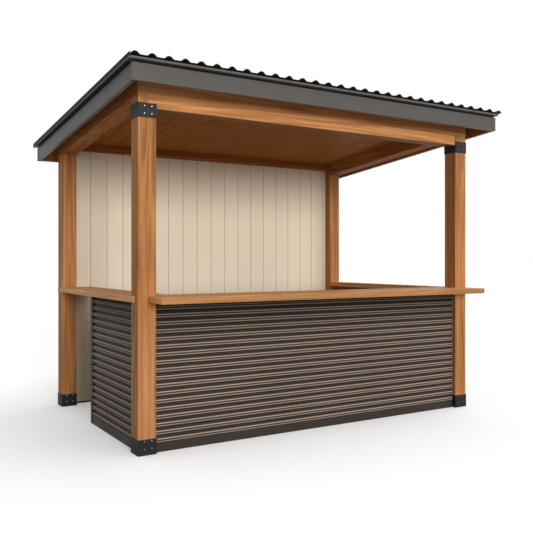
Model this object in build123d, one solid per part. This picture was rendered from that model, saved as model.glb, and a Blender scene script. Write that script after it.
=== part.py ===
from build123d import *
import math
import os

# Timber market stall on four square posts, open at the front and at both sides
# above the counters, with a grooved wall at the rear and a roof that falls to the rear.
# Millimetres. X runs along the front, Y from the front to the rear, Z up.
# The origin lies on the ground, at the middle of the roof sheet and its trims.

# Main frame
stall_width = 3350.0
stall_depth = 2150.0
post_width = 140.0
edge_ease = 3.0
deck_height = 2741.0
roof_pitch = 5.0

# Steel sleeves at the feet and heads of the posts
sleeve_wall = 3.0
foot_sleeve_height = 116.0
foot_plate = 6.0
head_sleeve_height = 106.0
head_sleeve_over_beam = 36.0

# Beams
front_beam_depth = 222.0
front_beam_cover = 20.0
front_beam_lap = 65.0
front_beam_shadow_gap = 8.0
side_beam_depth = 124.0
rear_beam_depth = 70.0

# Roof deck, battens and sheet
verge_overhang = 135.0
front_overhang = 242.0
rear_overhang = 265.0
deck_thickness = 20.0
deck_setback = 12.0
deck_board = 160.0
batten_thickness = 27.0
batten_width = 45.0
batten_count = 5
rib_pitch = 125.0
rib_height = 21.0
rib_half_width = 36.0
rib_crown_half = 20.0
rib_flank_height = 13.5
roof_sheet_thickness = 2.0
sheet_over_left = 28.0
sheet_over_right = 50.0
sheet_over_front = 34.0
sheet_over_rear = 52.0

# Metal fascia on timber rim boards
fascia_height = 124.0
fascia_thickness = 2.0
fascia_below_deck_top = 14.0
rim_thickness = 28.0
corner_trim_leg = 44.0
corner_trim_thickness = 2.0

# Folded trims between the fascia and the roof sheet
trim_thickness = 2.0
drip_height = 15.0
drip_projection = 30.0
drip_foot = 82.0
drip_top = 30.0
verge_cap_height = 43.0
verge_cap_lip = 6.0
verge_foot = 68.0
verge_gap = 0.5
right_trim_projection = 10.0
right_trim_top = 25.0

# Counters
counter_top = 1152.0
counter_thickness = 47.0
counter_front_overhang = 257.0
counter_inner_strip = 66.0
counter_left_inset = 75.0
counter_right_inset = 16.0
counter_chamfer = 12.0
left_counter_width = 305.0
left_counter_lip = 10.0
left_counter_lip_front = 70.0
left_counter_lip_rear = 20.0

# Counter walls
clad_recess = 35.0
wave_pitch = 57.5
wave_depth = 14.0
wave_crown_share = 0.59
clad_thickness = 1.2
clad_top_gap = 2.0
stud_width = 45.0
stud_depth = 45.0
stud_spacing = 600.0
lining_thickness = 12.0
base_trim_height = 68.0
base_trim_thickness = 2.0
left_wall_length = 1070.0
end_trim_flange = 46.0

# Rear wall
wall_recess = 47.0
wall_board_thickness = 20.0
wall_board_pitch = 168.4
wall_sill_height = 15.0
wall_rail_height = 90.0
groove_width = 6.0
groove_depth = 4.5

# Places worked out from the sizes
left_reach = verge_overhang + sheet_over_left + verge_gap + trim_thickness + verge_cap_lip
right_reach = verge_overhang + sheet_over_right
front_reach = front_overhang + sheet_over_front
rear_reach = rear_overhang + sheet_over_rear
west = left_reach - (left_reach + stall_width + right_reach) / 2
east = west + stall_width
front = front_reach - (front_reach + stall_depth + rear_reach) / 2
rear = front + stall_depth

post_inner_west = west + post_width
post_inner_east = east - post_width
post_inner_front = front + post_width
post_inner_rear = rear - post_width

fascia_west = west - verge_overhang
fascia_east = east + verge_overhang
fascia_front = front - front_overhang
fascia_rear = rear + rear_overhang

sheet_west = fascia_west - sheet_over_left
sheet_east = fascia_east + sheet_over_right
sheet_front = fascia_front - sheet_over_front
sheet_rear = fascia_rear + sheet_over_rear

fall = math.tan(math.radians(roof_pitch))
fascia_top_level = deck_thickness - fascia_below_deck_top
fascia_bottom_level = fascia_top_level - fascia_height
fascia_lip = fascia_thickness + rim_thickness
sheet_level = deck_thickness + batten_thickness

counter_underside = counter_top - counter_thickness
counter_inner = post_inner_front + counter_inner_strip
front_wall_length = post_inner_east - post_inner_west - 2 * sleeve_wall
right_wall_length = post_inner_rear - post_inner_front - 2 * sleeve_wall
wall_face = rear - wall_recess
wall_back = wall_face + wall_board_thickness
clad_depth = wave_depth + clad_thickness
frame_inset = clad_recess + clad_depth
lining_inset = frame_inset + stud_depth
wall_start = post_inner_front + sleeve_wall
left_wall_end = wall_start + left_wall_length


def level(y, height=0.0):
    """Height of the plane that lies this far above the underside of the roof deck."""
    return deck_height - (y - front) * fall + height


front_beam_underside = level(front, -front_beam_depth)
head_sleeve_top = front_beam_underside + head_sleeve_over_beam
rear_beam_underside = level(post_inner_rear, -rear_beam_depth)


def block(x1, x2, y1, y2, z1, z2):
    size = Box(x2 - x1, y2 - y1, z2 - z1)
    return Pos((x1 + x2) / 2, (y1 + y2) / 2, (z1 + z2) / 2) * size


def along_x(outline, x1, x2):
    """Prism from an outline of (y, z) points."""
    face = Plane.YZ.offset(x1) * make_face(Polyline(*outline, close=True))
    return extrude(face, amount=x2 - x1, dir=(1, 0, 0))


def along_z(outline, z1, z2):
    """Prism from an outline of (x, y) points."""
    face = Plane.XY.offset(z1) * make_face(Polyline(*outline, close=True))
    return extrude(face, amount=z2 - z1, dir=(0, 0, 1))


def down_roof(face, y1, y2):
    """Run a face of (x, height above the deck's underside) down the slope of the roof."""
    start = Plane(origin=(0, y1, level(y1)), x_dir=(1, 0, 0), z_dir=(0, -1, 0))
    run = y2 - y1
    return extrude(start * face, amount=math.hypot(run, run * fall), dir=(0, 1, -fall))


def across_roof(y1, y2, low, high, x1, x2):
    """Bar along X whose top and underside follow the slope of the roof."""
    outline = [
        (y1, level(y1, low)),
        (y2, level(y2, low)),
        (y2, level(y2, high)),
        (y1, level(y1, high)),
    ]
    return along_x(outline, x1, x2)


def slope_bar(x1, x2, y1, y2, low, high):
    """Bar that runs down the slope between two faces across the stall."""
    face = make_face(Polyline((x1, low), (x2, low), (x2, high), (x1, high), close=True))
    return down_roof(face, y1, y2)


# Posts and sleeves

def post(x1, y1):
    """Square post with eased corners, its head cut to the slope of the beam over it."""
    x2 = x1 + post_width
    y2 = y1 + post_width
    outline = [
        (x1 + edge_ease, y1), (x2 - edge_ease, y1),
        (x2, y1 + edge_ease), (x2, y2 - edge_ease),
        (x2 - edge_ease, y2), (x1 + edge_ease, y2),
        (x1, y2 - edge_ease), (x1, y1 + edge_ease),
    ]
    head = level(y1, -side_beam_depth)
    column = along_z(outline, foot_plate, head)
    above_slope = [(y1, head), (y2, head), (y2, level(y2, -side_beam_depth))]
    return column - along_x(above_slope, x1, x2)


def front_left_post():
    """The inner part of the head is cut down as a seat for the front beam."""
    seat = block(
        post_inner_west - front_beam_lap, post_inner_west,
        front, post_inner_front,
        front_beam_underside, deck_height,
    )
    return post(west, front) - seat


def sleeve_ring(x1, y1, z1, z2):
    outer = block(
        x1 - sleeve_wall, x1 + post_width + sleeve_wall,
        y1 - sleeve_wall, y1 + post_width + sleeve_wall,
        z1, z2,
    )
    inner = block(x1, x1 + post_width, y1, y1 + post_width, z1, z2)
    return outer - inner


def foot_sleeve(x1, y1):
    plate = block(x1, x1 + post_width, y1, y1 + post_width, 0, foot_plate)
    return sleeve_ring(x1, y1, 0, foot_sleeve_height) + plate


def head_sleeve(x1, inner_x1):
    """Ring round the post's head. Its inner cheek stops under the front beam."""
    ring = sleeve_ring(x1, front, head_sleeve_top - head_sleeve_height, head_sleeve_top)
    passage = block(
        inner_x1, inner_x1 + sleeve_wall,
        front, post_inner_front,
        front_beam_underside, head_sleeve_top,
    )
    return ring - passage


# Beams

def front_beam():
    post_head = level(front, -side_beam_depth)
    outline = [
        (front, post_head),
        (post_inner_front, level(post_inner_front, -side_beam_depth)),
        (post_inner_front, level(post_inner_front)),
        (front, level(front)),
    ]
    upper = along_x(outline, post_inner_west, post_inner_east)
    lower_outline = [
        (front, front_beam_underside + edge_ease),
        (front + edge_ease, front_beam_underside),
        (post_inner_front - edge_ease, front_beam_underside),
        (post_inner_front, front_beam_underside + edge_ease),
        (post_inner_front, level(post_inner_front, -side_beam_depth)),
        (front, post_head),
    ]
    lower = along_x(
        lower_outline,
        post_inner_west - front_beam_lap, post_inner_east - front_beam_shadow_gap,
    )
    cover = across_roof(front, front + front_beam_cover, -side_beam_depth, 0, west, east)
    return upper + lower + cover


def side_beam(x1):
    x2 = x1 + post_width
    low = -side_beam_depth
    outline = [
        (x1, 0), (x1, low + edge_ease), (x1 + edge_ease, low),
        (x2 - edge_ease, low), (x2, low + edge_ease), (x2, 0),
    ]
    face = make_face(Polyline(*outline, close=True))
    return down_roof(face, front + front_beam_cover, rear)


def rear_beam():
    outline = [
        (post_inner_rear, rear_beam_underside + edge_ease),
        (post_inner_rear + edge_ease, rear_beam_underside),
        (rear, rear_beam_underside),
        (rear, level(rear)),
        (post_inner_rear, level(post_inner_rear)),
    ]
    return along_x(outline, post_inner_west, post_inner_east)


# Grooved boards

def grooved_edge(x1, x2, pitch, plane, inward):
    """Points of an edge with V grooves at each joint between boards."""
    points = []
    count = math.floor((x2 - x1) / pitch)
    for number in range(1, count + 1):
        joint = x1 + number * pitch
        if joint > x2 - groove_width:
            continue
        points.append((joint - groove_width / 2, plane))
        points.append((joint, plane + inward * groove_depth))
        points.append((joint + groove_width / 2, plane))
    return points


def roof_deck():
    """Boards run down the slope. Their grooved underside is the ceiling and the soffit."""
    x1 = fascia_west + deck_setback
    x2 = fascia_east - deck_setback
    underside = [(x1, 0), *grooved_edge(x1, x2, deck_board, 0, 1), (x2, 0)]
    top = [(x2, deck_thickness), (x1, deck_thickness)]
    face = make_face(Polyline(*underside, *top, close=True))
    return down_roof(face, fascia_front + deck_setback, fascia_rear - deck_setback)


def scribed(piece):
    """Cut a piece of the rear wall back round the sleeves at the feet of its posts."""
    for x1 in (west, post_inner_east):
        piece -= block(
            x1 - sleeve_wall, x1 + post_width + sleeve_wall,
            wall_face - groove_depth, rear, 0, foot_sleeve_height,
        )
    return piece


def back_wall():
    face_edge = [
        (post_inner_west, wall_face),
        *grooved_edge(post_inner_west, post_inner_east, wall_board_pitch, wall_face, 1),
        (post_inner_east, wall_face),
    ]
    back_edge = [(post_inner_east, wall_back), (post_inner_west, wall_back)]
    return scribed(along_z([*face_edge, *back_edge], wall_sill_height, rear_beam_underside))


def back_wall_sill():
    sill = block(post_inner_west, post_inner_east, wall_face, rear, 0, wall_sill_height)
    return scribed(sill)


def back_wall_rails():
    span = rear_beam_underside - wall_sill_height - wall_rail_height
    rails = []
    for share in (0.0, 0.5, 1.0):
        z1 = wall_sill_height + share * span
        rail = block(post_inner_west, post_inner_east, wall_back, rear, z1, z1 + wall_rail_height)
        rails.append(scribed(rail))
    return rails


# Roof covering

def rib_curves(middle, lift):
    """Two straight flanks and a crown arc, from the left foot of a rib to its right foot."""
    def at(x, z):
        return (middle + x, lift + z)

    left_shoulder = at(-rib_crown_half, rib_flank_height)
    right_shoulder = at(rib_crown_half, rib_flank_height)
    return [
        Line(at(-rib_half_width, 0), left_shoulder),
        ThreePointArc(left_shoulder, at(0, rib_height), right_shoulder),
        Line(right_shoulder, at(rib_half_width, 0)),
    ]


def sheet_curve(lift):
    first = sheet_west + rib_half_width
    last = sheet_east - rib_half_width
    gaps = max(1, round((last - first) / rib_pitch))
    step = (last - first) / gaps
    curves = []
    for number in range(gaps + 1):
        middle = first + number * step
        curves.extend(rib_curves(middle, lift))
        if number < gaps:
            foot = (middle + rib_half_width, lift)
            curves.append(Line(foot, (middle + step - rib_half_width, lift)))
    return curves


def roof_sheet():
    low = sheet_level
    high = sheet_level + roof_sheet_thickness
    ends = [
        Line((sheet_west, low), (sheet_west, high)),
        Line((sheet_east, low), (sheet_east, high)),
    ]
    face = make_face([*sheet_curve(low), *sheet_curve(high), *ends])
    return down_roof(face, sheet_front, sheet_rear)


def roof_battens():
    x1 = fascia_west - sheet_over_left + verge_foot
    x2 = fascia_east + right_trim_projection - verge_foot
    first = fascia_front - drip_projection + drip_foot
    last = fascia_rear + drip_projection - drip_foot - batten_width
    battens = []
    for number in range(batten_count):
        y1 = first + (last - first) * number / (batten_count - 1)
        battens.append(
            across_roof(y1, y1 + batten_width, deck_thickness, sheet_level, x1, x2)
        )
    return battens


# Fascia and rim boards

def fascia_across(outer_y, inward):
    """Front or rear fascia: an upright face with a lip turned in under the rim board."""
    bottom = level(outer_y, fascia_bottom_level)
    inner_y = outer_y + inward * fascia_thickness
    lip_y = outer_y + inward * fascia_lip
    outline = [
        (outer_y, bottom),
        (inner_y, bottom),
        (inner_y, level(inner_y, fascia_top_level)),
        (outer_y, level(outer_y, fascia_top_level)),
    ]
    upright = along_x(outline, fascia_west, fascia_east)
    lip = block(
        fascia_west + fascia_thickness, fascia_east - fascia_thickness,
        min(inner_y, lip_y), max(inner_y, lip_y),
        bottom, bottom + fascia_thickness,
    )
    return upright + lip


def fascia_down(outer_x, inward):
    """Left or right fascia, fitted between the front one and the rear one."""
    inner_x = outer_x + inward * fascia_thickness
    lip_x = outer_x + inward * fascia_lip
    upright = slope_bar(
        min(outer_x, inner_x), max(outer_x, inner_x),
        fascia_front + fascia_thickness, fascia_rear - fascia_thickness,
        fascia_bottom_level, fascia_top_level,
    )
    lip = slope_bar(
        min(outer_x, lip_x), max(outer_x, lip_x),
        fascia_front + fascia_lip, fascia_rear - fascia_lip,
        fascia_bottom_level, fascia_bottom_level + fascia_thickness,
    )
    return upright + lip


def eaves_board(outer_y, inward):
    y1 = outer_y + inward * fascia_thickness
    y2 = y1 + inward * rim_thickness
    bottom = level(outer_y, fascia_bottom_level) + fascia_thickness
    outline = [(y1, bottom), (y2, bottom), (y2, level(y2)), (y1, level(y1))]
    return along_x(outline, fascia_west + fascia_thickness, fascia_east - fascia_thickness)


def verge_board(outer_x, inward):
    x1 = outer_x + inward * fascia_thickness
    x2 = x1 + inward * rim_thickness
    edge = fascia_thickness + rim_thickness
    return slope_bar(
        min(x1, x2), max(x1, x2),
        fascia_front + edge, fascia_rear - edge,
        fascia_bottom_level + fascia_thickness, 0,
    )


def corner_trim(corner_x, corner_y, inward_x, inward_y):
    """Angle over the meeting of two fascias, cut to the slope at top and bottom."""
    out_x = corner_x - inward_x * corner_trim_thickness
    out_y = corner_y - inward_y * corner_trim_thickness
    leg_x = out_x + inward_x * corner_trim_leg
    leg_y = out_y + inward_y * corner_trim_leg
    outline = [
        (out_x, out_y), (leg_x, out_y), (leg_x, corner_y),
        (corner_x, corner_y), (corner_x, leg_y), (out_x, leg_y),
    ]
    low = level(max(out_y, leg_y), fascia_bottom_level)
    high = level(min(out_y, leg_y), fascia_top_level)
    angle = along_z(outline, low, high)
    band = across_roof(
        min(out_y, leg_y), max(out_y, leg_y),
        fascia_bottom_level, fascia_top_level,
        min(out_x, leg_x), max(out_x, leg_x),
    )
    return angle & band


# Folded trims under the roof sheet

def drip_edge(outer_y, inward):
    """Channel whose nose stands out over the fascia, with legs above and below."""
    nose = outer_y - inward * drip_projection
    nose_back = nose + inward * trim_thickness
    foot = nose + inward * drip_foot
    head = nose + inward * drip_top
    low = deck_thickness
    high = deck_thickness + drip_height
    outline = [
        (nose, level(nose, low)),
        (foot, level(foot, low)),
        (foot, level(foot, low + trim_thickness)),
        (nose_back, level(nose_back, low + trim_thickness)),
        (nose_back, level(nose_back, high - trim_thickness)),
        (head, level(head, high - trim_thickness)),
        (head, level(head, high)),
        (nose, level(nose, high)),
    ]
    x2 = fascia_east + right_trim_projection - trim_thickness
    return along_x(outline, sheet_west - verge_gap, x2)


def verge_cap():
    """Upstand beside the first rib, with a drip lip outside and a foot on the deck."""
    inner = sheet_west - verge_gap
    outer = inner - trim_thickness
    low = deck_thickness
    high = deck_thickness + verge_cap_height
    upstand = slope_bar(outer, inner, sheet_front, sheet_rear, low, high)
    lip = slope_bar(
        outer - verge_cap_lip, outer, sheet_front, sheet_rear,
        low, low + trim_thickness,
    )
    foot = slope_bar(
        inner, sheet_west + verge_foot - trim_thickness,
        fascia_front - drip_projection + drip_foot,
        fascia_rear + drip_projection - drip_foot,
        low, low + trim_thickness,
    )
    return upstand + lip + foot


def verge_trim():
    """Low channel under the far edge of the sheet."""
    outer = fascia_east + right_trim_projection
    inner = outer - trim_thickness
    y1 = fascia_front - drip_projection
    y2 = fascia_rear + drip_projection
    upright = slope_bar(inner, outer, y1, y2, deck_thickness, sheet_level)
    foot = slope_bar(
        outer - verge_foot + trim_thickness, inner,
        y1 + drip_foot, y2 - drip_foot,
        deck_thickness, deck_thickness + trim_thickness,
    )
    head = slope_bar(
        outer - right_trim_top, inner,
        y1 + drip_foot, y2 - drip_foot,
        sheet_level - trim_thickness, sheet_level,
    )
    return upright + foot + head


# Counters

def long_edges(board):
    """The edges round the top and the underside of a counter board."""
    middle = (counter_underside + counter_top) / 2
    reach = counter_thickness / 2 - 1
    return [edge for edge in board.edges() if abs(edge.center().Z - middle) > reach]


def front_counter():
    left = west + counter_left_inset
    right = east - counter_right_inset
    nose = front - counter_front_overhang
    outline = [
        (left, nose),
        (right - counter_chamfer, nose),
        (right, nose + counter_chamfer),
        (right, front),
        (post_inner_east, front),
        (post_inner_east, post_inner_front),
        (east, post_inner_front),
        (east, counter_inner),
        (west, counter_inner),
        (west, post_inner_front),
        (post_inner_west, post_inner_front),
        (post_inner_west, front),
        (left, front),
    ]
    board = along_z(outline, counter_underside, counter_top)
    free_edges = [edge for edge in long_edges(board) if edge.center().Y < front - 1]
    return chamfer(free_edges, edge_ease)


def left_counter():
    lip = west - left_counter_lip
    lip_front = front + left_counter_lip_front
    lip_rear = rear - left_counter_lip_rear
    inner = west + left_counter_width
    outline = [
        (lip, lip_front),
        (west, lip_front),
        (west, counter_inner),
        (inner, counter_inner),
        (inner, wall_face),
        (post_inner_west, wall_face),
        (post_inner_west, post_inner_rear),
        (west, post_inner_rear),
        (west, lip_rear),
        (lip, lip_rear),
    ]
    board = along_z(outline, counter_underside, counter_top)
    free_edges = [edge for edge in long_edges(board) if edge.center().X < lip + 1]
    return chamfer(free_edges, edge_ease)


def right_counter():
    return block(
        post_inner_east, east, counter_inner, post_inner_rear,
        counter_underside, counter_top,
    )


# Counter walls

def wall_frame(length):
    """Plates and studs in a flat frame: X along the wall, Y into it from its outer face."""
    plates = block(0, length, 0, stud_depth, 0, stud_width)
    plates += block(0, length, 0, stud_depth, counter_underside - stud_width, counter_underside)
    bays = max(1, math.ceil((length - stud_width) / stud_spacing))
    for number in range(bays + 1):
        x1 = number * (length - stud_width) / bays
        plates += block(
            x1, x1 + stud_width, 0, stud_depth,
            stud_width, counter_underside - stud_width,
        )
    return plates


def wave_curve(bottom, top, shift):
    """Rows of a wide crown and a narrower trough, tangent where they meet, up the wall."""
    rows = max(1, round((top - bottom) / wave_pitch))
    row = (top - bottom) / rows
    crown = row * wave_crown_share
    mean = shift + wave_depth * wave_crown_share
    curves = []
    for number in range(rows):
        start = bottom + number * row
        turn = start + crown
        end = start + row
        curves.append(ThreePointArc((mean, start), (shift, start + crown / 2), (mean, turn)))
        curves.append(ThreePointArc(
            (mean, turn), (shift + wave_depth, (turn + end) / 2), (mean, end),
        ))
    return curves


def cladding(length):
    """Corrugated sheet with level waves, placed as the frame is."""
    bottom = base_trim_height
    top = counter_underside - clad_top_gap
    mean = wave_depth * wave_crown_share
    ends = [
        Line((mean, bottom), (mean + clad_thickness, bottom)),
        Line((mean, top), (mean + clad_thickness, top)),
    ]
    face = make_face([
        *wave_curve(bottom, top, 0),
        *wave_curve(bottom, top, clad_thickness),
        *ends,
    ])
    return extrude(Plane.YZ * face, amount=length, dir=(1, 0, 0))


def base_trim(length):
    """Channel at the foot of the sheet, open towards the frame."""
    ledge = base_trim_height - base_trim_thickness
    outline = [
        (0, 0),
        (clad_depth, 0),
        (clad_depth, base_trim_thickness),
        (base_trim_thickness, base_trim_thickness),
        (base_trim_thickness, ledge),
        (clad_depth, ledge),
        (clad_depth, base_trim_height),
        (0, base_trim_height),
    ]
    return along_x(outline, 0, length)


def lining(length):
    return block(0, length, 0, lining_thickness, 0, counter_underside)


def on_front(piece, inset):
    return Pos(post_inner_west + sleeve_wall, front + inset, 0) * piece


def on_left(piece, inset):
    """The wall's own X runs from the rear end forwards."""
    return Pos(west + inset, left_wall_end, 0) * Rot(0, 0, -90) * piece


def on_right(piece, inset):
    return Pos(east - inset, wall_start, 0) * Rot(0, 0, 90) * piece


def left_end_trim():
    """Channel over the free rear end of the left wall."""
    t = trim_thickness
    x1 = west + clad_recess - t
    x2 = west + lining_inset + lining_thickness + t
    y2 = left_wall_end + t
    y1 = y2 - end_trim_flange
    outline = [
        (x1, y1), (x1 + t, y1), (x1 + t, left_wall_end), (x2 - t, left_wall_end),
        (x2 - t, y1), (x2, y1), (x2, y2), (x1, y2),
    ]
    return along_z(outline, 0, counter_underside)


nodes = {
    "post_front_left": front_left_post(),
    "post_front_right": post(post_inner_east, front),
    "post_rear_left": post(west, post_inner_rear),
    "post_rear_right": post(post_inner_east, post_inner_rear),
    "foot_sleeve_front_left": foot_sleeve(west, front),
    "foot_sleeve_front_right": foot_sleeve(post_inner_east, front),
    "foot_sleeve_rear_left": foot_sleeve(west, post_inner_rear),
    "foot_sleeve_rear_right": foot_sleeve(post_inner_east, post_inner_rear),
    "head_sleeve_left": head_sleeve(west, post_inner_west),
    "head_sleeve_right": head_sleeve(post_inner_east, post_inner_east - sleeve_wall),
    "front_beam": front_beam(),
    "rear_beam": rear_beam(),
    "left_beam": side_beam(west),
    "right_beam": side_beam(post_inner_east),
    "roof_deck": roof_deck(),
    "roof_battens": roof_battens(),
    "roof_sheet": roof_sheet(),
    "eaves_boards": [eaves_board(fascia_front, 1), eaves_board(fascia_rear, -1)],
    "verge_boards": [verge_board(fascia_west, 1), verge_board(fascia_east, -1)],
    "fascia_front": fascia_across(fascia_front, 1),
    "fascia_rear": fascia_across(fascia_rear, -1),
    "fascia_left": fascia_down(fascia_west, 1),
    "fascia_right": fascia_down(fascia_east, -1),
    "fascia_corner_trims": [
        corner_trim(x, y, inward_x, inward_y)
        for x, inward_x in ((fascia_west, 1), (fascia_east, -1))
        for y, inward_y in ((fascia_front, 1), (fascia_rear, -1))
    ],
    "drip_edge_front": drip_edge(fascia_front, 1),
    "drip_edge_rear": drip_edge(fascia_rear, -1),
    "verge_cap_left": verge_cap(),
    "verge_trim_right": verge_trim(),
    "back_wall": back_wall(),
    "back_wall_rails": back_wall_rails(),
    "back_wall_sill": back_wall_sill(),
    "counter_front": front_counter(),
    "counter_left": left_counter(),
    "counter_right": right_counter(),
    "wall_frame_front": on_front(wall_frame(front_wall_length), frame_inset),
    "wall_frame_left": on_left(wall_frame(left_wall_length), frame_inset),
    "wall_frame_right": on_right(wall_frame(right_wall_length), frame_inset),
    "cladding_front": on_front(cladding(front_wall_length), clad_recess),
    "cladding_left": on_left(cladding(left_wall_length), clad_recess),
    "cladding_right": on_right(cladding(right_wall_length), clad_recess),
    "lining_front": on_front(lining(front_wall_length), lining_inset),
    "lining_left": on_left(lining(left_wall_length), lining_inset),
    "lining_right": on_right(lining(right_wall_length), lining_inset),
    "base_trims": [
        on_front(base_trim(front_wall_length), clad_recess),
        on_left(base_trim(left_wall_length), clad_recess),
        on_right(base_trim(right_wall_length), clad_recess),
    ],
    "left_end_trim": left_end_trim(),
}

os.makedirs("parts", exist_ok=True)
for name, shape in nodes.items():
    if isinstance(shape, list):
        solids = [solid for piece in shape for solid in piece.solids()]
    else:
        solids = shape.solids()
    if len(solids) == 1:
        export_step(solids[0], f"parts/{name}.step")
    else:
        export_step(Compound(children=solids), f"parts/{name}.step")
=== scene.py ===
import math

import bpy
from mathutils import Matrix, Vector


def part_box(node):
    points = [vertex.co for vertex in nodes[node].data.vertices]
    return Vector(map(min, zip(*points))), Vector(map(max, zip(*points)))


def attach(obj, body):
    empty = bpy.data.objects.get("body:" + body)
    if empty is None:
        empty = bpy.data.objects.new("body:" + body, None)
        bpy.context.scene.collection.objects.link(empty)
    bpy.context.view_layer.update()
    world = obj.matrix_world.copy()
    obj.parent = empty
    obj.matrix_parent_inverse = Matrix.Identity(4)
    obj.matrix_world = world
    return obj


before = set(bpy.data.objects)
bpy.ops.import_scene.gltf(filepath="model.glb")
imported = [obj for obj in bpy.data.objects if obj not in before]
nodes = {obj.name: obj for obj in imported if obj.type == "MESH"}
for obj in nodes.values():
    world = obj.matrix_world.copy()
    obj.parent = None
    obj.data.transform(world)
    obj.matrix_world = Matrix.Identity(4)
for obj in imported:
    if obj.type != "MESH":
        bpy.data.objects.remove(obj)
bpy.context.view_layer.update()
bpy.ops.object.select_all(action="DESELECT")
print("frame loaded:", len(nodes), "nodes")

# places on the stall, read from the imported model
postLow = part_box("post_front_left")[0]
deckLow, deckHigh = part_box("roof_deck")
eavesLow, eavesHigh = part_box("eaves_boards")
sheetLow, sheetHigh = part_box("roof_sheet")
battenLow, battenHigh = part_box("roof_battens")
capLow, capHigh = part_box("verge_cap_left")
roofPitch = math.radians(5.0)      # the roof falls to the rear


# one socket, with arithmetic that adds Math nodes
class Value:
    def __init__(self, nodeSet, out):
        self.nodeSet = nodeSet
        self.out = out

    def maths(self, operation, other=None, turned=False):
        inputs = {0: self} if other is None else {0: self, 1: other}
        if turned:
            inputs = {0: other, 1: self}
        return self.nodeSet.node("ShaderNodeMath", {"operation": operation}, inputs)

    def __add__(self, other):
        return self.maths("ADD", other)

    def __radd__(self, other):
        return self.maths("ADD", other)

    def __sub__(self, other):
        return self.maths("SUBTRACT", other)

    def __rsub__(self, other):
        return self.maths("SUBTRACT", other, turned=True)

    def __mul__(self, other):
        return self.maths("MULTIPLY", other)

    def __rmul__(self, other):
        return self.maths("MULTIPLY", other)

    def __truediv__(self, other):
        return self.maths("DIVIDE", other)

    def __rtruediv__(self, other):
        return self.maths("DIVIDE", other, turned=True)


# one node tree, whose nodes all come from node()
class NodeSet:
    def __init__(self, tree):
        self.tree = tree

    def node(self, kind, settings=None, inputs=None, output=0):
        made = self.tree.nodes.new(kind)
        for key, value in (settings or {}).items():
            if key == "stops":
                self.setStops(made.color_ramp, value)
            else:
                setattr(made, key, value)
        for key, value in (inputs or {}).items():
            self.feed(made.inputs[key], value)
        return Value(self, made.outputs[output])

    def feed(self, socket, value):
        if isinstance(value, Value):
            self.tree.links.new(value.out, socket)
        else:
            socket.default_value = value

    def setStops(self, ramp, stops):
        while len(ramp.elements) < len(stops):
            ramp.elements.new(0.5)
        for element, (position, colour) in zip(ramp.elements, stops):
            element.position = position
            element.color = opaque(colour)

    def place(self):
        return self.node("ShaderNodeTexCoord", output="Object")

    def along(self, vector, axis):
        return self.node("ShaderNodeSeparateXYZ", None, {"Vector": vector}, output=axis)

    def chance(self, number):
        return self.node("ShaderNodeTexWhiteNoise", {"noise_dimensions": "1D"}, {"W": number})

    def grey(self, level):
        return self.node("ShaderNodeCombineColor", None, {0: level, 1: level, 2: level})

    def scaled(self, vector, scale, shift=(0, 0, 0)):
        inputs = {"Vector": vector, "Scale": scale, "Location": shift}
        return self.node("ShaderNodeMapping", None, inputs)

    def noise(self, vector, scale, detail=3.0, roughness=0.5, distortion=0.0):
        inputs = {
            "Vector": vector, "Scale": scale, "Detail": detail,
            "Roughness": roughness, "Distortion": distortion,
        }
        return self.node("ShaderNodeTexNoise", None, inputs)

    def ramp(self, value, stops):
        return self.node("ShaderNodeValToRGB", {"stops": stops}, {"Fac": value})

    def fit(self, value, low, high, to=(0.0, 1.0)):
        inputs = {
            "Value": value, "From Min": low, "From Max": high, "To Min": to[0], "To Max": to[1],
        }
        return self.node("ShaderNodeMapRange", None, inputs)

    def mixed(self, factor, first, second, blend="MIX"):
        settings = {"data_type": "RGBA", "blend_type": blend}
        return self.node("ShaderNodeMix", settings, {0: factor, 6: first, 7: second}, output=2)

    # 1 for the eye, for reflections and for what is seen through glass, 0 for light on the stall
    def seen(self):
        rays = [
            self.node("ShaderNodeLightPath", output=name)
            for name in ("Is Camera Ray", "Is Glossy Ray", "Is Transmission Ray")
        ]
        return rays[0].maths("MAXIMUM", rays[1]).maths("MAXIMUM", rays[2])


# one material with its Principled shader
class Finish(NodeSet):
    def __init__(self, name, roughness=0.5, metallic=0.0, specular=0.4):
        self.material = bpy.data.materials.new(name)
        self.material.use_nodes = True
        super().__init__(self.material.node_tree)
        self.shader = self.tree.nodes["Principled BSDF"]
        self.shader.inputs["Roughness"].default_value = roughness
        self.shader.inputs["Metallic"].default_value = metallic
        self.shader.inputs["Specular IOR Level"].default_value = specular

    def bump(self, height, strength, distance):
        inputs = {"Height": height, "Strength": strength, "Distance": distance}
        self.feed(self.shader.inputs["Normal"], self.node("ShaderNodeBump", None, inputs))

    def colour(self, value):
        self.feed(self.shader.inputs["Base Color"], value)

    def rough(self, value):
        self.feed(self.shader.inputs["Roughness"], value)


def grey(value):
    return (value, value, value, 1.0)


def opaque(tone):
    return (*tone, 1.0)


# the same scale on the three axes, apart from the one along the grain
def alongGrain(axis, across, along):
    scale = [across, across, across]
    scale["XYZ".index(axis)] = along
    return tuple(scale)


noiseLow, noiseHigh = 0.3, 0.7      # most of a Noise Texture's values lie between
jointCore = 0.4                     # share of a joint's half width that is fully dark


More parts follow.
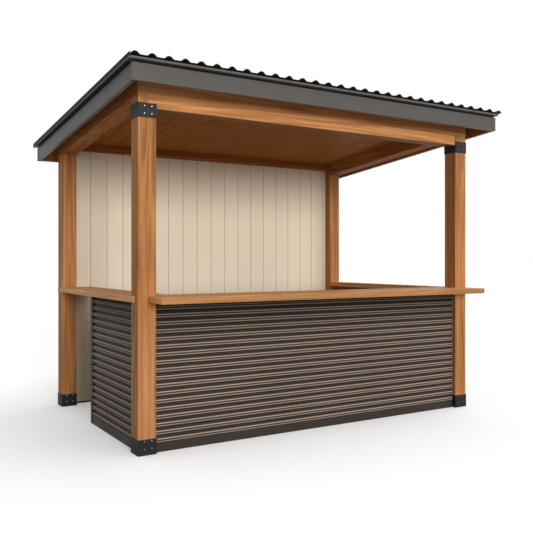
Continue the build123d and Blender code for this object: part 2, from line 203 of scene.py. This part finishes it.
# a number for each board, and the shade of the run with a darker line at each joint
def boardShade(finish, spot, boards):
    steps = (finish.along(spot, boards["axis"]) - boards["start"]) / boards["pitch"]
    joint = (steps + 0.5).maths("FLOOR")
    toJoint = (steps - joint).maths("ABSOLUTE") * boards["pitch"]
    board = finish.chance(steps.maths("FLOOR"))
    line = boards["line"] + finish.chance(joint + 0.5) * boards["lineSpread"]
    ink = finish.fit(toJoint, boards["gap"] * jointCore, boards["gap"], (1.0, 0.0))
    level = finish.fit(board, 0.0, 1.0, (1.0 - boards["spread"], 1.0 + boards["spread"]))
    return board, level * (1.0 - ink * (1.0 - line))


# depth, blend and level of the painted gap shadow
gapShadow = {"depth": 0.006, "blend": 0.002, "level": 0.05}


# painted shadow on the edges of the roof timber, where they show in the gap over the fascias
def paintedGapShadow(finish, spot, edges):
    shade = 1.0
    for axis, low, high in edges:
        fromMiddle = (finish.along(spot, axis) - (low + high) / 2).maths("ABSOLUTE")
        reach = (high - low) / 2 - gapShadow["depth"]
        levels = (1.0, gapShadow["level"])
        shade = finish.fit(fromMiddle, reach, reach + gapShadow["blend"], levels) * shade
    return shade


undersideShade = {"from": 0.001, "to": 0.002, "level": 0.48}      # painted shade up to these metres over the beam's underside


# painted shade: the underside of a beam is darkened towards the ceiling's tone
def paintedUndersideShade(finish, spot, beam):
    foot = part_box(beam)[0].z
    levels = (undersideShade["level"], 1.0)
    return finish.fit(
        finish.along(spot, "Z"), foot + undersideShade["from"], foot + undersideShade["to"], levels)


timber = {
    "stops": [
        (0.30, (0.225, 0.083, 0.021)), (0.43, (0.350, 0.140, 0.038)),
        (0.54, (0.470, 0.205, 0.063)), (0.70, (0.610, 0.300, 0.108)),
    ],
    # scale per metre across and along the grain, detail, roughness, distortion
    "wander": (6.0, 0.6),
    "bands": (36.0, 0.7, 3.0, 0.55, 0.3),
    "rings": (7.0, 0.35, 1.0),
    "lines": (210.0, 1.6, 2.0, 0.6),
    "fibres": (620.0, 9.0),
    "pores": (330.0, 17.0, 1.0),
    "ringCount": 60.0,
    "shares": {"bands": 0.40, "rings": 0.10, "wander": 0.26, "lines": 0.30, "fibres": 0.12},
    "middle": 0.59,           # the shares' sum at a middle tone
    "poreRange": (0.60, 0.72),
    "poreShare": 0.30,
    "knotTone": (0.090, 0.032, 0.010),
    "knotScale": (3.1, 1.0),
    "knotRange": (0.015, 0.075),
    "knotShare": 0.6,
    "seedShift": (1.0, 0.7, 1.3),
    "boardShift": (7.0, 5.0, 3.0),
    "roughFrom": (0.2, 0.9),
    "roughTo": (0.46, 0.66),
    "roughKnots": 0.3,
    "relief": {"fibres": 0.5, "lines": 0.4, "knots": 0.4, "pores": 0.3},
    "bump": (0.2, 0.0012),
}


# seed moves the pattern, streak is its contrast; the edges listed get a painted gap shadow, and
# the beam named gets painted shade on its underside
def makeTimber(
        name, axis, seed, tint, streak=1.0, boards=None, specular=0.03, gapShadowEdges=(), beam=None):
    finish = Finish(name, specular=specular)
    spot = finish.place()
    shade = 1.0
    moved = finish.scaled(spot, (1, 1, 1), tuple(seed * part for part in timber["seedShift"]))
    if boards:
        board, shade = boardShade(finish, spot, boards)
        steps = {socket: board * part for socket, part in enumerate(timber["boardShift"])}
        shift = finish.node("ShaderNodeCombineXYZ", None, steps)
        moved = finish.node("ShaderNodeVectorMath", {"operation": "ADD"}, {0: moved, 1: shift})

    def grain(across, along, detail=2.0, roughness=0.5, distortion=0.0):
        stretched = finish.scaled(moved, alongGrain(axis, across, along))
        return finish.noise(stretched, 1.0, detail, roughness, distortion)

    shares = timber["shares"]
    wander = grain(*timber["wander"])
    bands = grain(*timber["bands"])
    rings = (grain(*timber["rings"]) * timber["ringCount"]).maths("SINE") * 0.5 + 0.5
    lines = grain(*timber["lines"])
    fibres = grain(*timber["fibres"])
    pores = finish.fit(grain(*timber["pores"]), *timber["poreRange"])
    knotSpot = finish.scaled(moved, alongGrain(axis, *timber["knotScale"]))
    knotPlace = finish.node(
        "ShaderNodeTexVoronoi", {"feature": "F1"}, {"Vector": knotSpot, "Scale": 1.0})
    knots = finish.fit(knotPlace, *timber["knotRange"], (1.0, 0.0))
    tone = (
        bands * shares["bands"] + rings * shares["rings"] + wander * shares["wander"]
        + lines * shares["lines"] + fibres * shares["fibres"] - timber["middle"])
    wood = finish.ramp(tone * streak + 0.5, timber["stops"])
    dark = (knots * timber["knotShare"]).maths("MAXIMUM", pores * timber["poreShare"] * streak)
    wood = finish.mixed(dark, wood, opaque(timber["knotTone"]))
    # painted shadow on the edges in the gap over the fascias
    if gapShadowEdges:
        shade = paintedGapShadow(finish, spot, gapShadowEdges) * shade
    # painted shade on the beam's underside
    if beam:
        shade = paintedUndersideShade(finish, spot, beam) * shade
    if isinstance(shade, Value):
        wood = finish.mixed(1.0, wood, finish.grey(shade), "MULTIPLY")
    finish.colour(finish.mixed(1.0, wood, opaque(tint), "MULTIPLY"))
    wear = fibres + knots * timber["roughKnots"]
    finish.rough(finish.fit(wear, *timber["roughFrom"], timber["roughTo"]))
    relief = timber["relief"]
    height = (
        fibres * relief["fibres"] + lines * relief["lines"]
        - knots * relief["knots"] - pores * relief["pores"])
    finish.bump(height, *timber["bump"])
    return finish.material


boardPaint = {
    "roughness": 0.55,
    "specular": 0.3,
    "cloudScale": (2.0, 2.0, 1.1),
    "cloudDetail": 3.0,
    "cloudShare": 0.8,
    "brushScale": (330.0, 330.0, 5.0),
    "brushDetail": 2.0,
    "brushShare": 0.2,
    "levels": (0.96, 1.03),
    "roughTo": (0.48, 0.62),
    "bump": (0.10, 0.0008),
}


def makeBoardPaint(name, tone, boards):
    finish = Finish(name, boardPaint["roughness"], specular=boardPaint["specular"])
    spot = finish.place()
    shade = boardShade(finish, spot, boards)[1]
    cloud = finish.noise(
        finish.scaled(spot, boardPaint["cloudScale"]), 1.0, boardPaint["cloudDetail"])
    brush = finish.noise(
        finish.scaled(spot, boardPaint["brushScale"]), 1.0, boardPaint["brushDetail"])
    mottle = cloud * boardPaint["cloudShare"] + brush * boardPaint["brushShare"]
    level = shade * finish.fit(mottle, noiseLow, noiseHigh, boardPaint["levels"])
    finish.colour(finish.mixed(1.0, opaque(tone), finish.grey(level), "MULTIPLY"))
    finish.rough(finish.fit(brush, noiseLow, noiseHigh, boardPaint["roughTo"]))
    finish.bump(brush, *boardPaint["bump"])
    return finish.material


steelCoat = {
    "cloudScale": 3.0,
    "cloudDetail": 4.0,
    "cloudShare": 0.7,
    "speckScale": 240.0,
    "speckDetail": 2.0,
    "speckShare": 0.3,
    "smoother": 0.04,         # how far the roughness falls and rises
    "rougher": 0.06,
    "bump": (0.05, 0.0006),
}


# painted steel: a faint cloud and speck in the coat, and the painted light and shade that
# shade() adds
def makeCoatedSteel(name, tone, roughness, spread=0.10, specular=0.35, shade=None):
    finish = Finish(name, roughness, specular=specular)
    spot = finish.place()
    cloud = finish.noise(spot, steelCoat["cloudScale"], steelCoat["cloudDetail"])
    speck = finish.noise(spot, steelCoat["speckScale"], steelCoat["speckDetail"])
    mottle = cloud * steelCoat["cloudShare"] + speck * steelCoat["speckShare"]
    level = finish.fit(mottle, noiseLow, noiseHigh, (1.0 - spread, 1.0 + spread))
    if shade:
        level = level * shade(finish, spot)
    finish.colour(finish.mixed(1.0, opaque(tone), finish.grey(level), "MULTIPLY"))
    roughTo = (roughness - steelCoat["smoother"], roughness + steelCoat["rougher"])
    finish.rough(finish.fit(cloud, noiseLow, noiseHigh, roughTo))
    finish.bump(speck, *steelCoat["bump"])
    return finish.material


cladWaves = {
    "pitch": 0.0575,
    "crest": 0.08496,         # height of the lowest crown
    "counterShadowFrom": 0.78,           # above this height the painted highlights fade into a painted shadow under the counter
    "top": 0.28,
    # levels from the trough, at 0, to the crown, at 1; the bands at 1.00 are painted highlights,
    # and the dark trough levels are painted shade
    "levels": [
        (0.00, 0.09), (0.38, 0.11), (0.56, 0.34), (0.67, 1.00),
        (0.83, 1.00), (0.90, 0.42), (0.94, 0.15), (1.00, 0.12),
    ],
}


# corrugated coat: two painted highlights beside each crown, painted shade in the troughs, and a
# painted shadow under the counter
def paintedWaveLight(finish, spot):
    height = finish.along(spot, "Z")
    turn = (height - cladWaves["crest"]) * (2.0 * math.pi / cladWaves["pitch"])
    levels = [(stop, (level, level, level)) for stop, level in cladWaves["levels"]]
    lines = finish.ramp(turn.maths("COSINE") * 0.5 + 0.5, levels)
    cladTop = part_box("cladding_front")[1].z
    # painted shadow of the counter: darker towards the top of the cladding
    return lines * finish.fit(height, cladWaves["counterShadowFrom"], cladTop, (1.0, cladWaves["top"]))


# where the painted highlight lies: metres over the cap's foot and in from its outer face
capEdge = {"from": 0.008, "to": 0.010, "inFrom": 0.008, "inTo": 0.009, "above": 0.12}


# verge cap: a painted highlight along its lower edge, with the roof's slope; above it the cap
# keeps its dark charcoal
def paintedCapHighlight(finish, spot):
    height = finish.along(spot, "Z") + finish.along(spot, "Y") * math.tan(roofPitch)
    foot = capLow.z + capHigh.y * math.tan(roofPitch)
    low = finish.fit(height, foot + capEdge["from"], foot + capEdge["to"], (1.0, 0.0))
    across = finish.along(spot, "X")
    outside = finish.fit(
        across, capLow.x + capEdge["inFrom"], capLow.x + capEdge["inTo"], (1.0, 0.0))
    return low * outside * (1.0 - capEdge["above"]) + capEdge["above"]


zincCoat = {"roughness": 0.3, "scale": 160.0, "detail": 3.0, "roughTo": (0.24, 0.40)}


def makeZinc(name, dark, light):
    finish = Finish(name, zincCoat["roughness"], metallic=1.0)
    cloud = finish.noise(finish.place(), zincCoat["scale"], zincCoat["detail"])
    finish.colour(finish.ramp(cloud, [(noiseLow, dark), (noiseHigh, light)]))
    finish.rough(finish.fit(cloud, noiseLow, noiseHigh, zincCoat["roughTo"]))
    return finish.material


# runs of boards: where their joints lie, and how much boards and joints differ
deckBoards = {
    "axis": "X", "start": deckLow.x, "pitch": 0.160, "spread": 0.05,
    "gap": 0.0045, "line": 0.70, "lineSpread": 0.30,
}
liningBoards = {
    "axis": "Z", "start": 0.0, "pitch": 0.138, "spread": 0.12,
    "gap": 0.0035, "line": 0.20, "lineSpread": 0.10,
}
counterOverhang = 0.257      # of the front counter, in front of the posts
counterBoards = {
    "axis": "Y", "start": postLow.y - counterOverhang, "pitch": 0.1545, "spread": 0.05,
    "gap": 0.0012, "line": 0.50, "lineSpread": 0.10,
}
wallBoards = {
    "axis": "X", "start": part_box("back_wall")[0].x, "pitch": 0.1684, "spread": 0.015,
    "gap": 0.0045, "line": 0.62, "lineSpread": 0.10,
}

rimTint = (0.98, 0.86, 0.66)
liningTint = (0.46, 0.40, 0.36)
# counters: the cedar tinted lighter, as painted light on their tops
counterLitTint = (1.42, 1.47, 1.56)
finishes = {
    "post": makeTimber("Cedar post", "Z", 0.0, (1.02, 1.04, 1.22), 1.0),
    # front beam: the cedar tinted lighter, as painted light
    "beamX": makeTimber(
        "Cedar beam across, lightened as painted light", "X", 3.1, (1.28, 1.32, 1.56), 0.9, beam="front_beam"),
    "beamY": makeTimber(
        "Cedar beam along", "Y", 5.7, (0.95, 0.92, 0.86), 0.9, beam="left_beam"),
    # rear rail and right beam: the same cedar tinted darker, as painted shade
    "shadedRailX": makeTimber("Cedar rail across, darkened as painted shade", "X", 7.7, (0.72, 0.60, 0.42), 0.8),
    "shadedBeamY": makeTimber(
        "Cedar beam along, darkened as painted shade", "Y", 1.4, (0.84, 0.72, 0.54), 0.8, beam="right_beam"),
    # battens: tinted dark, as painted shade where they show under the sheet
    "batten": makeTimber("Roof battens, darkened as painted shade", "X", 4.8, (0.30, 0.26, 0.22)),
    "rimX": makeTimber(
        "Rim board across", "X", 6.1, rimTint, gapShadowEdges=[("Y", eavesLow.y, eavesHigh.y)]),
    "rimY": makeTimber(
        "Rim board along", "Y", 2.9, rimTint, gapShadowEdges=[("X", eavesLow.x, eavesHigh.x)]),
    "deck": makeTimber(
        "Stained ceiling boards", "Y", 9.3, (0.80, 0.66, 0.42), 0.45, deckBoards,
        gapShadowEdges=[("X", deckLow.x, deckHigh.x), ("Y", deckLow.y, deckHigh.y)]),
    "frame": makeTimber("Framing timber", "Z", 1.9, (0.90, 0.88, 0.85)),
    "liningX": makeTimber(
        "Stained lining across", "X", 2.3, liningTint, 0.8, liningBoards),
    "liningY": makeTimber(
        "Stained lining along", "Y", 4.4, liningTint, 0.8, liningBoards),
    "counterX": makeTimber(
        "Cedar counter across", "X", 8.2, counterLitTint, 0.8, counterBoards, 0.30),
    "counterY": makeTimber(
        "Cedar counter along", "Y", 6.6, counterLitTint, 0.8, specular=0.30),
    "wall": makeBoardPaint("Cream board paint", (0.715, 0.606, 0.462), wallBoards),
    "sleeve": makeCoatedSteel(
        "Black powder coat", (0.0125, 0.0130, 0.0130), 0.55, specular=0.12),
    # the same black powder coat, lighter on the post heads: painted light
    "lightenedHeadSleeve": makeCoatedSteel(
        "Black powder coat, lightened as painted light", (0.026, 0.026, 0.026), 0.55, specular=0.16),
    "roof": makeCoatedSteel(
        "Charcoal roof coat", (0.072, 0.068, 0.063), 0.45, specular=0.15),
    "fascia": makeCoatedSteel(
        "Grey brown fascia coat", (0.086, 0.078, 0.071), 0.46, specular=0.22),
    "corner": makeCoatedSteel(
        "Grey brown corner coat", (0.092, 0.084, 0.076), 0.46, specular=0.22),
    "trim": makeCoatedSteel(
        "Grey brown trim coat", (0.104, 0.097, 0.090), 0.46, specular=0.15),
    # verge cap: its tone is the painted highlight's, darkened above the lip
    "cap": makeCoatedSteel(
        "Charcoal verge coat, painted edge highlight", (0.330, 0.310, 0.290), 0.55, specular=0.02, shade=paintedCapHighlight),
    # cladding: painted highlights and painted shade are part of this coat's colour
    "cladding": makeCoatedSteel(
        "Umber corrugated coat, painted highlights and shade", (0.430, 0.334, 0.272), 0.50, 0.06, 0.04, shade=paintedWaveLight),
    "cladTrim": makeCoatedSteel(
        "Umber trim coat", (0.036, 0.028, 0.023), 0.48, specular=0.12),
    # bright zinc: the dull zinc lightened, as a painted glint
    "zinc": makeZinc("Bright zinc, painted glint", (0.42, 0.43, 0.44), (0.62, 0.63, 0.64)),
    "dullZinc": makeZinc("Dull zinc", (0.20, 0.20, 0.21), (0.34, 0.34, 0.35)),
}
print("finishes made:", len(finishes))

# the first of these that a node's name starts with gives its finish
nodeFinish = {
    "post_": "post",
    "foot_sleeve": "sleeve",
    "head_sleeve": "lightenedHeadSleeve",
    "front_beam": "beamX",
    "rear_beam": "shadedRailX",
    "left_beam": "beamY",
    "right_beam": "shadedBeamY",
    "roof_deck": "deck",
    "roof_battens": "batten",
    "eaves_boards": "rimX",
    "verge_boards": "rimY",
    "roof_sheet": "roof",
    "fascia_corner": "corner",
    "fascia": "fascia",
    "drip_edge": "trim",
    "verge_cap": "cap",
    "verge_trim": "trim",
    "back_wall_sill": "sleeve",
    "back_wall": "wall",
    "counter_front": "counterX",
    "counter_": "counterY",
    "wall_frame": "frame",
    "cladding": "cladding",
    "base_trims": "cladTrim",
    "left_end_trim": "cladTrim",
    "lining_front": "liningX",
    "lining_": "liningY",
}
for nodeName, cadNode in nodes.items():
    for start, finishName in nodeFinish.items():
        if nodeName.startswith(start):
            cadNode.data.materials.clear()
            cadNode.data.materials.append(finishes[finishName])
            break
    else:
        raise ValueError("no finish for " + nodeName)

sheetSmoothing = math.radians(35)
for nodeName in ("roof_sheet", "cladding_front", "cladding_left", "cladding_right"):
    nodes[nodeName].select_set(True)
    bpy.context.view_layer.objects.active = nodes[nodeName]
    bpy.ops.object.shade_smooth_by_angle(angle=sheetSmoothing)
    nodes[nodeName].select_set(False)
print("finishes given to the CAD nodes")

# a screw head's shape, as shares of its own height and radius
headShape = {
    "bevel": 0.45,
    "bevelSteps": 2,
    "socketRim": 0.22,
    "socketDepth": 0.6,
    "smoothing": 40.0,       # degrees
}


# one bevelled head with a socket, its underside on the ground plane, facing up
def makeScrew(name, size):
    radius, height = size["radius"], size["height"]
    bpy.ops.mesh.primitive_cylinder_add(
        vertices=size["sides"], radius=radius, depth=height, location=(0, 0, height / 2))
    head = bpy.context.object
    head.name = name
    bpy.ops.object.mode_set(mode="EDIT")
    bpy.ops.mesh.select_all(action="DESELECT")
    bpy.ops.object.mode_set(mode="OBJECT")
    for face in head.data.polygons:
        face.select = face.normal.z > 0.9
    bpy.ops.object.mode_set(mode="EDIT")
    bpy.ops.mesh.bevel(
        offset=height * headShape["bevel"], segments=headShape["bevelSteps"], affect="EDGES")
    bpy.ops.object.mode_set(mode="OBJECT")
    top = max(vertex.co.z for vertex in head.data.vertices)
    for face in head.data.polygons:
        face.select = face.normal.z > 0.99 and face.center.z > top - 1e-5
    bpy.ops.object.mode_set(mode="EDIT")
    bpy.ops.mesh.inset(thickness=radius * headShape["socketRim"])
    bpy.ops.mesh.extrude_region_move(
        TRANSFORM_OT_translate={"value": (0, 0, -height * headShape["socketDepth"])})
    bpy.ops.object.mode_set(mode="OBJECT")
    bpy.ops.object.transform_apply(location=True, rotation=True, scale=True)
    head.select_set(False)
    return head


# copies of a head at (place, outward direction), joined into one piece
def placeScrews(pattern, name, spots, finish):
    bpy.ops.object.select_all(action="DESELECT")
    copies = []
    for place, outward in spots:
        copy = pattern.copy()
        copy.data = pattern.data.copy()
        bpy.context.scene.collection.objects.link(copy)
        copy.rotation_euler = Vector(outward).to_track_quat("Z", "Y").to_euler()
        copy.location = place
        copy.select_set(True)
        copies.append(copy)
    bpy.context.view_layer.objects.active = copies[0]
    bpy.ops.object.join()
    piece = bpy.context.object
    piece.name = name
    bpy.ops.object.transform_apply(location=True, rotation=True, scale=True)
    piece.data.materials.clear()
    piece.data.materials.append(finish)
    bpy.ops.object.shade_smooth_by_angle(angle=math.radians(headShape["smoothing"]))
    piece.select_set(False)
    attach(piece, "root")


sleeveScrews = {
    "radius": 0.0052,
    "height": 0.0026,
    "sides": 12,
    "across": (0.35, 0.74),   # shares of the sleeve's width
    "footUp": (0.40, 0.88),   # shares of its height
    "headUp": (0.28, 0.80),
}


# four screws on the front and four on the rear of a sleeve
def sleeveSpots(sleeve, upShares):
    low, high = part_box(sleeve)
    spots = []
    for y, outward in ((low.y, (0, -1, 0)), (high.y, (0, 1, 0))):
        for up in upShares:
            z = low.z + (high.z - low.z) * up
            for share in sleeveScrews["across"]:
                x = low.x + (high.x - low.x) * share
                spots.append(((x, y, z), outward))
    return spots


sleeveScrew = makeScrew("sleeveScrewPattern", sleeveScrews)
for end in ("front_left", "front_right", "rear_left", "rear_right"):
    placeScrews(
        sleeveScrew, "screws_foot_" + end,
        sleeveSpots("foot_sleeve_" + end, sleeveScrews["footUp"]),
        finishes["dullZinc"])
# the left head's screws take the brighter zinc: a painted glint on the same screws
for end, zinc in (("left", "zinc"), ("right", "dullZinc")):
    placeScrews(
        sleeveScrew, "screws_head_" + end,
        sleeveSpots("head_sleeve_" + end, sleeveScrews["headUp"]),
        finishes[zinc])
bpy.data.objects.remove(sleeveScrew)
print("sleeve screws placed")

roofScrews = {
    "radius": 0.0075,
    "height": 0.0040,
    "sides": 8,
    "ribs": 30,
    "firstRib": 0.036,        # from the sheet's side edge to the crown of its first rib
    "battens": 5,
    "battenHalf": 0.0225,
}


# a screw through each rib's crown into each batten
def roofScrewSpots():
    ribStep = (sheetHigh.x - sheetLow.x - 2 * roofScrews["firstRib"]) / (roofScrews["ribs"] - 1)
    firstBatten = battenLow.y + roofScrews["battenHalf"]
    lastBatten = battenHigh.y - roofScrews["battenHalf"]
    battenStep = (lastBatten - firstBatten) / (roofScrews["battens"] - 1)
    outward = (0, math.sin(roofPitch), math.cos(roofPitch))
    spots = []
    for batten in range(roofScrews["battens"]):
        y = firstBatten + batten * battenStep
        z = sheetHigh.z - (y - sheetLow.y) * math.tan(roofPitch)
        for rib in range(roofScrews["ribs"]):
            x = sheetLow.x + roofScrews["firstRib"] + rib * ribStep
            spots.append(((x, y, z), outward))
    return spots


roofScrew = makeScrew("roofScrewPattern", roofScrews)
placeScrews(roofScrew, "roof_screws", roofScrewSpots(), finishes["trim"])
bpy.data.objects.remove(roofScrew)
print("roof screws placed")

# studio: the floor is white to the eye, and it keeps the stall's shadow
studio = {
    "floorSize": 60.0,
    "floorDrop": 0.0008,
    "floorRoughness": 0.9,
    "floorTone": 0.34,
    "floorSeen": 0.95,
    "floorGlow": 0.24,
    "worldLevel": 0.50,
    "lampDistance": 8.0,
    "keyLevel": 2.3,
    "keySpread": 20.0,
    "keyElevation": 8.5,
    "keyAzimuth": -3.0,       # degrees to the right of straight in front
    "fillLevel": 1.0,
    "fillSpread": 55.0,
    "fillElevation": 70.0,
    "fillAzimuth": 75.0,
}
bpy.ops.mesh.primitive_plane_add(
    size=studio["floorSize"], location=(0, 0, -studio["floorDrop"]))
floor = bpy.context.object
floor.name = "studioFloor"
bpy.ops.object.transform_apply(location=True, rotation=True, scale=True)
floorFinish = Finish("Studio floor", studio["floorRoughness"], specular=0.0)
seenFloor = floorFinish.seen()
floorFinish.colour(
    floorFinish.mixed(seenFloor, grey(studio["floorTone"]), grey(studio["floorSeen"])))
floorFinish.feed(
    floorFinish.shader.inputs["Emission Color"],
    floorFinish.mixed(seenFloor, grey(0.0), grey(1.0)))
floorFinish.shader.inputs["Emission Strength"].default_value = studio["floorGlow"]
floor.data.materials.append(floorFinish.material)

world = bpy.data.worlds.new("Studio")
bpy.context.scene.world = world
world.use_nodes = True
sky = NodeSet(world.node_tree)
background = world.node_tree.nodes["Background"]
background.inputs["Color"].default_value = grey(1.0)
sky.feed(
    background.inputs["Strength"], sky.fit(sky.seen(), 0.0, 1.0, (studio["worldLevel"], 1.0)))


# lamp is "key" or "fill"
def addSun(lamp):
    turn = math.radians(studio[lamp + "Azimuth"])
    rise = math.radians(studio[lamp + "Elevation"])
    source = Vector((
        math.sin(turn) * math.cos(rise), -math.cos(turn) * math.cos(rise), math.sin(rise)))
    bpy.ops.object.light_add(type="SUN", location=source * studio["lampDistance"])
    sun = bpy.context.object
    sun.name = lamp + "Light"
    sun.data.energy = studio[lamp + "Level"]
    sun.data.angle = math.radians(studio[lamp + "Spread"])
    sun.rotation_euler = source.to_track_quat("Z", "Y").to_euler()


addSun("key")
addSun("fill")

# camera, worked out from the posts and counters in the photograph
view = {
    "fromPostX": -1.833,
    "fromPostY": -4.763,
    "height": 1.414,
    "level": 90.0,            # degrees, looking level
    "yaw": 31.48,
    "focalPixels": 697.4,
    "photoSize": 533.0,
    "sensor": 36.0,
    "shiftPixels": -6.2,
    "clipEnd": 200.0,
}
bpy.ops.object.camera_add(
    location=(postLow.x + view["fromPostX"], postLow.y + view["fromPostY"], view["height"]),
    rotation=(math.radians(view["level"]), 0, -math.radians(view["yaw"])))
camera = bpy.context.object
camera.name = "photoCamera"
camera.data.sensor_width = view["sensor"]
camera.data.lens = view["focalPixels"] / view["photoSize"] * view["sensor"]
camera.data.shift_y = view["shiftPixels"] / view["photoSize"]
camera.data.clip_end = view["clipEnd"]
bpy.context.scene.camera = camera
bpy.context.scene.view_settings.view_transform = "Standard"
print("studio and camera set")
